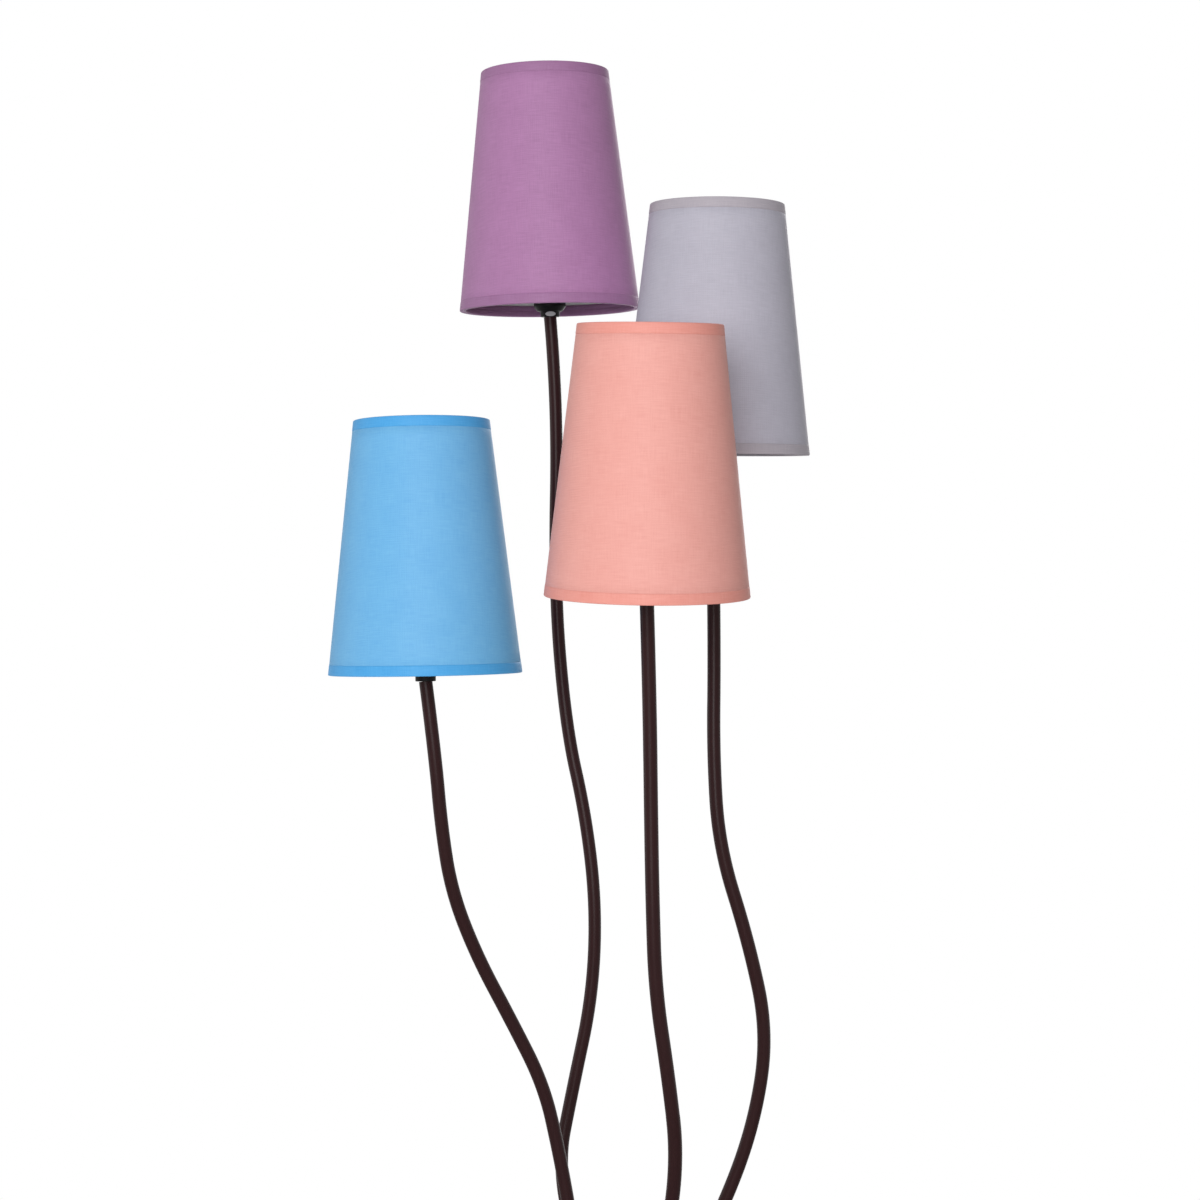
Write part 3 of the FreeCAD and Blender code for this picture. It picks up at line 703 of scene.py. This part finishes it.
# %% [markdown]
# ## Lampholder caps
# Under each shade, the end of the arm goes into the neck of a black cap, which widens in a short cone to
# the skirt of the lampholder. On the side of the neck sits a small grey oval, the pad of the locking screw.
# A cap is screwed on until it is tight, so the pads face different ways, and only one faces the front. The
# cap is an outline spun round its axis, with its edges rounded, and the pad is a disc, stretched to an oval
# and let into it.

# %% Sizes of a lampholder, in millimetres above the shade's rim
neck_bottom, neck_top, cap_shoulder, cap_top = -5.4, -1.5, 2.5, 14.0
neck_radius, cone_radius, cap_radius, arm_bore, cap_wall = 7.5, 10.0, 12.5, 3.6, 1.4
flange_bottom, flange_top, socket_top = 25.0, 27.0, 46.0
skirt_radius, flange_radius, thread_radius, socket_bore, socket_floor = 13.0, 17.0, 13.9, 8.0, 22.0
ring_bottom, ring_top, ring_radius = 29.2, 36.2, 18.5
pad_width, pad_height, pad_depth, pad_proud = 8.0, 3.6, 2.5, 0.5
PAD_TURN = {"violet": 4, "grey": 150, "blue": 165, "pink": 200}


def holder_cap(colour):
    """The cap, and the oval pad on its neck."""
    work = bmesh.new()
    hollow = cap_radius - cap_wall
    spin_outline(work, [
        (arm_bore, neck_bottom), (neck_radius, neck_bottom), (neck_radius, neck_top),
        (cone_radius, neck_top + 0.6), (cap_radius, cap_shoulder), (cap_radius, cap_top),
        (hollow, cap_top), (hollow, cap_shoulder + cap_wall), (arm_bore, neck_top + cap_wall)], steps=56)
    soften(work, width=0.55, from_angle=25)
    pad = bmesh.ops.create_cone(work, cap_ends=True, segments=32, radius1=pad_height / 2000,
                                radius2=pad_height / 2000, depth=pad_depth / 1000)["verts"]
    bmesh.ops.rotate(work, verts=pad, matrix=Matrix.Rotation(math.pi / 2, 3, "X"))
    bmesh.ops.scale(work, verts=pad, vec=(pad_width / pad_height, 1, 1))
    outwards = -neck_radius - pad_proud + pad_depth / 2
    bmesh.ops.translate(work, verts=pad, vec=mm(0, outwards, (neck_bottom + neck_top) / 2))
    bmesh.ops.rotate(work, verts=pad, matrix=Matrix.Rotation(math.radians(PAD_TURN[colour]), 3, "Z"))
    pad_faces = {face for vert in pad for face in vert.link_faces}
    for face in pad_faces:
        face.material_index = 1
    in_head(work, colour)
    return finished(f"socket_{colour}_cap", work, "head_" + colour,
                    [black_plastic, grey_nylon], stands_for=[f"holder_{colour}_cap"])


caps = [holder_cap(colour) for colour in COLOURS]
print(len(caps), "caps, neck", neck_radius * 2, "mm across")

# %% [markdown]
# ## Sockets and clamp rings
# Inside the shade, the socket's flange carries the shade's ring, and a ribbed clamp ring screws down on it.
# The thread is a real helix: a small tooth is spun round the axis and lifted by the pitch at every turn.

# %% Socket bodies with their threads
thread_pitch, thread_depth, thread_turns = 2.5, 0.8, 6
tooth_foot, tooth_crest, tooth_sunk = 1.5, 0.4, 0.1
above_flange = 1.2


def socket_body(colour):
    """The skirt, the flange and the threaded barrel that the bulb screws into."""
    work = bmesh.new()
    core = thread_radius - thread_depth
    spin_outline(work, [
        (0, cap_top), (skirt_radius, cap_top), (skirt_radius, flange_bottom), (flange_radius, flange_bottom),
        (flange_radius, flange_top), (core, flange_top), (core, socket_top), (socket_bore, socket_top),
        (socket_bore, socket_floor), (0, socket_floor)], steps=56, closed=False)
    soften(work, width=0.4, segments=2)
    start = flange_top + above_flange
    root = core - tooth_sunk
    tooth = [(root, start - tooth_foot / 2), (thread_radius, start - tooth_crest / 2),
             (thread_radius, start + tooth_crest / 2), (root, start + tooth_foot / 2)]
    helix(work, tooth, thread_turns, thread_pitch, steps_a_turn=40)
    in_head(work, colour)
    return finished(f"socket_{colour}_body", work, "head_" + colour, [black_plastic],
                    stands_for=[f"holder_{colour}_body"])


sockets = [socket_body(colour) for colour in COLOURS]
print(len(sockets), "sockets with a thread of", thread_pitch, "mm pitch, to", socket_top, "mm above the rim")

# %% Ribbed clamp rings
rib_height, rib_taper, thread_gap = 0.9, 0.2, 0.1


def clamp_ring(colour):
    """A ring with upright ribs that fingers can grip, made of every second face of its wall."""
    work = bmesh.new()
    inner = thread_radius + thread_gap
    wall = ring_radius - rib_height
    spin_outline(work, [(inner, ring_bottom), (wall, ring_bottom), (wall, ring_top), (inner, ring_top)],
                 steps=72)
    weld(work)
    halfway = (inner + wall) / 2
    grip = [face for face in work.faces if face.calc_center_median().xy.length > halfway / 1000]
    grip.sort(key=lambda face: math.atan2(face.calc_center_median().y, face.calc_center_median().x))
    ribs = grip[::2]
    bmesh.ops.inset_individual(work, faces=ribs, thickness=rib_taper / 1000, depth=0)
    for face in ribs:
        outward = Vector((*face.calc_center_median().xy, 0)).normalized()
        bmesh.ops.translate(work, verts=face.verts, vec=outward * rib_height / 1000)
    in_head(work, colour)
    return finished(f"socket_{colour}_ring", work, "head_" + colour, [black_plastic],
                    stands_for=[f"holder_{colour}_ring"])


rings = [clamp_ring(colour) for colour in COLOURS]
print(len(rings), "clamp rings,", ring_top - ring_bottom, "mm tall")

# %% [markdown]
# ## Bulbs
# A globe lamp of opal glass sits in each socket. The glass is translucent white rather than clear, so
# nothing inside it has to be modelled: light goes a little way in and comes back diffused. Its metal base
# is rolled aluminium. The base's thread is drawn as rings instead of a helix, because it is always inside
# the socket.

# %% Opal glass and rolled aluminium
opal_glass, tree = new_material("opal_glass")
opal = cover_with(tree, {
    "Base Color": two_tone(tree, noise(tree, 40.0), "#efede8", "#f6f5f1"), "Roughness": 0.12,
    "Subsurface Weight": 0.6, "Subsurface Scale": 0.004, "Coat Weight": 0.5, "Coat Roughness": 0.04,
    "IOR": 1.5})


def brushed_metal(name, dark_hex, light_hex, grain_scale, rough_from, rough_to):
    """Bare or plated metal whose brightness and gloss vary along a grain."""
    metal, tree = new_material(name)
    grain = noise(tree, grain_scale, detail=3.0)
    cover_with(tree, {"Base Color": two_tone(tree, grain, dark_hex, light_hex),
                      "Roughness": between(tree, grain, rough_from, rough_to), "Metallic": 1.0})
    return metal


rolled_aluminium = brushed_metal("rolled_aluminium", "#bdbbb4", "#d2d0ca",
                                 (300.0, 300.0, 1500.0), 0.25, 0.38)
print("opal scatter", opal.inputs["Subsurface Scale"].default_value * 1000, "mm")

# %% Bulbs
base_radius, base_top, roll_depth = 6.9, 46.3, 0.45
glass_neck_radius, glass_neck_height, ball_radius = 10.5, 9.0, 22.5
ball_centre = base_top + glass_neck_height + math.sqrt(ball_radius ** 2 - glass_neck_radius ** 2)
flare_drop, flare_angle, flare_curve = 3.0, 14, 1.6


def bulb_glass(colour):
    """A glass ball on a short neck that flares into it."""
    work = bmesh.new()
    neck_end = base_top + glass_neck_height - flare_drop
    outline = [(0, base_top), (glass_neck_radius, base_top), (glass_neck_radius, neck_end)]
    start = math.asin(glass_neck_radius / ball_radius)
    end = start + math.radians(flare_angle)
    flare_steps, ball_steps = 4, 28
    for step in range(flare_steps + 1):
        share = step / flare_steps
        angle = start + (end - start) * share
        radius = ball_radius * math.sin(angle)
        height = ball_centre - ball_radius * math.cos(angle)
        outline.append((glass_neck_radius + (radius - glass_neck_radius) * share ** flare_curve,
                        neck_end + (height - neck_end) * share))
    for step in range(1, ball_steps + 1):
        angle = end + (math.pi - end) * step / ball_steps
        outline.append((ball_radius * math.sin(angle), ball_centre - ball_radius * math.cos(angle)))
    outline[-1] = (0, ball_centre + ball_radius)
    spin_outline(work, outline, steps=64, closed=False)
    in_head(work, colour)
    return finished(f"lamp_{colour}_globe", work, "head_" + colour, [opal_glass],
                    stands_for=[f"bulb_{colour}_glass"], sharp_from=60)


def bulb_base(colour):
    """The screwed metal base, from its contact up to the glass."""
    work = bmesh.new()
    outline = [(0, socket_floor + 0.6), (2.4, socket_floor + 0.6), (2.4, socket_floor + 2)]
    rolls, steps_a_roll = 7, 6
    low, high = socket_floor + 4, base_top - 1.5
    for step in range(rolls * steps_a_roll + 1):
        wave = math.cos(2 * math.pi * step / steps_a_roll)
        height = low + (high - low) * step / (rolls * steps_a_roll)
        outline.append((base_radius - roll_depth * (1 - wave), height))
    outline += [(base_radius, base_top - 0.4), (base_radius, base_top), (0, base_top)]
    spin_outline(work, outline, steps=48, closed=False)
    in_head(work, colour)
    return finished(f"lamp_{colour}_thread", work, "head_" + colour, [rolled_aluminium],
                    stands_for=[f"bulb_{colour}_base"], sharp_from=50)


globes = [bulb_glass(colour) for colour in COLOURS]
bases = [bulb_base(colour) for colour in COLOURS]
print(len(globes), "globes on", len(bases), "bases, centre", round(ball_centre, 1), "mm above the rim")

# %% [markdown]
# ## Brown coat
# The pole, the hub and the base's cover are steel with a baked powder coat, dark brown like the sleeves.
# Powder melts into a skin with a slight orange peel, about two millimetres across, and a satin gloss.

# %% Brown powder coat
def powder_coat(name, dark_hex, light_hex, peel_scale, rough_from, rough_to, peel=0.05, mirror=0.4):
    """A baked coat with orange peel and uneven gloss."""
    coat, tree = new_material(name)
    cloud = noise(tree, 12.0, detail=3.0)
    peel_noise = noise(tree, peel_scale, detail=1.0)
    cover_with(tree, {"Base Color": two_tone(tree, cloud, dark_hex, light_hex),
                      "Roughness": between(tree, cloud, rough_from, rough_to),
                      "Normal": relief(tree, peel_noise, peel, 0.001), "Specular IOR Level": mirror})
    return coat


brown_peel_scale = 500.0
brown_coat = powder_coat("powder_coat_brown", "#2c1f1e", "#372927", brown_peel_scale, 0.4, 0.52, mirror=0.18)
white_coat = powder_coat("powder_coat_white", "#deddd9", "#e8e7e4", 900.0, 0.35, 0.45)
print("orange peel about", 1000 / brown_peel_scale, "mm")

# %% [markdown]
# ## The hub
# The four arms meet in a turned steel cup on top of the pole. Its top edge is chamfered, and each arm comes
# out of it through a short collar that points along the arm. The collars are cylinders, sunk in the cup's
# thick top, so they meet it without a gap whatever their angle.

# %% Hub body with its collars
hub_bottom, hub_top, hub_radius, hub_wall, hub_roof = 552.0, 612.0, 34.0, 4.0, 14.0
hub_chamfer = 4.0
collar_outer, collar_bore, collar_height, collar_sunk = 7.6, 4.4, 11.0, 4.0

work = bmesh.new()
hub_inside = hub_radius - hub_wall
spin_outline(work, [
    (0, hub_top), (hub_radius - hub_chamfer, hub_top), (hub_radius, hub_top - hub_chamfer),
    (hub_radius, hub_bottom), (hub_inside, hub_bottom), (hub_inside, hub_top - hub_roof),
    (0, hub_top - hub_roof)], steps=96, closed=False)
soften(work, width=0.8)
finished("hub_shell", work, "stand", [brown_coat], stands_for=["hub_body"])

collars = []
for colour in COLOURS:
    route = route_of(colour)
    along = (route[1] - route[0]).normalized()
    work = bmesh.new()
    spin_outline(work, [(collar_bore, 0), (collar_outer, 0), (collar_outer, collar_height),
                        (collar_bore, collar_height)], steps=40)
    soften(work, width=0.9)
    way = Vector((0, 0, 1)).rotation_difference(along).to_matrix().to_4x4()
    rise = (hub_top - collar_sunk - foot_height) / 1000 / along.z
    bmesh.ops.transform(work, matrix=Matrix.Translation(route[0] + along * rise) @ way, verts=work.verts)
    collars.append(finished(f"hub_collar_{colour}", work, "stand", [brown_coat]))
print("hub", hub_radius * 2, "mm across, with", len(collars), "collars")

# %% [markdown]
# ## The switch button
# The foot switch sticks up through the cover. Its button is worn by shoes, so its edge is well rounded and
# its top is slightly dished.

# %% Switch button
button_radius, button_flange, button_low, button_step, button_top = 8.0, 9.5, 18.4, 21.4, 34.7
switch_place = mm(0, -85, 0)

work = bmesh.new()
spin_outline(work, [
    (0, button_low), (button_flange, button_low), (button_flange, button_step), (button_radius, button_step),
    (button_radius, button_top - 0.4), (button_radius - 1.4, button_top), (4.6, button_top - 0.3),
    (2.4, button_top - 0.55), (0, button_top - 0.6)], steps=56, closed=False)
soften(work, width=0.5)
bmesh.ops.translate(work, verts=work.verts, vec=switch_place)
finished("foot_button", work, "switch_button", [black_plastic],
         stands_for=["switch_button"])
print("button", button_radius * 2, "mm across")

# %% [markdown]
# ## The switch's spring
# Under the button is a coil spring of drawn wire. It is a true helix: a small circle is spun round the axis
# and lifted by the pitch at every turn. When the button is pressed, the spring shortens with it instead of
# staying as it is.

# %% Switch spring
spring_low, spring_high, spring_radius, wire_radius, spring_turns = 6.65, 17.75, 6.5, 0.6, 5
spring_steel = brushed_metal("drawn_spring_wire", "#8b8b8d", "#a5a5a7", (400.0, 400.0, 400.0), 0.22, 0.35)

work = bmesh.new()
wire_sides = 12
angles = [2 * math.pi * side / wire_sides for side in range(wire_sides)]
wire = [(spring_radius + wire_radius * math.cos(angle), spring_low + wire_radius * math.sin(angle))
        for angle in angles]
helix(work, wire, spring_turns, (spring_high - spring_low) / spring_turns, steps_a_turn=32)
bmesh.ops.translate(work, verts=work.verts, vec=switch_place)
spring = finished("foot_spring", work, "stand", [spring_steel], stands_for=["switch_spring"])
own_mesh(spring)

# %% [markdown]
# ## Finishes for the CAD pieces that stay
# Some pieces keep their CAD mesh, because it is already round enough and nothing on it needs dressing: the
# pole, the base, the wire frames, the screws and nuts, and the leads. Each gets the finish that its real
# counterpart has. Zinc plating is a cloudy pale grey. Cast iron is coarse and dull. Felt is rough, with
# loose fibres that catch a little light at a grazing angle. Lead sheaths are soft PVC.

# %% Metals, felt, iron and sheaths
zinc_plate = brushed_metal("zinc_plated_steel", "#9a9da2", "#b6b9be", (90.0, 90.0, 90.0), 0.3, 0.5)
cast_iron = powder_coat("cast_iron", "#2b2a29", "#3a3937", 260.0, 0.6, 0.78, peel=0.5)
white_nylon = powder_coat("moulded_nylon_white", "#dbd9cf", "#e6e4dc", 700.0, 0.45, 0.58)
lead_pvc = powder_coat("lead_sheath_pvc", "#d2cec4", "#dedad1", 400.0, 0.42, 0.55)

felt, tree = new_material("pressed_felt")
fibres = noise(tree, 900.0, detail=4.0, distortion=1.2)
cover_with(tree, {"Base Color": two_tone(tree, fibres, "#2a2727", "#423e3e"), "Roughness": 0.95,
                  "Normal": relief(tree, fibres, 0.5, 0.0005), "Sheen Weight": 0.25})

kept_finishes = {
    "base_pad": felt, "base_plate": zinc_plate, "plate_screws": zinc_plate, "base_ballast": cast_iron,
    "base_cover": brown_coat, "base_nipple": zinc_plate, "pole": brown_coat, "pole_inserts": zinc_plate,
    "hub_nipple": zinc_plate, "hub_floor": brown_coat, "lock_nuts": zinc_plate,
    "terminal_block": white_nylon, "pole_lead": lead_pvc, "arm_leads": lead_pvc,
    "cable_gland": black_plastic, "gland_nut": black_plastic, "switch_housing": black_plastic,
}
kept_finishes.update({f"shade_{colour}_frame": white_coat for colour in COLOURS})
for name, finish in kept_finishes.items():
    bpy.data.objects[name].material_slots[0].material = finish
print(len(kept_finishes), "CAD pieces have their finish")
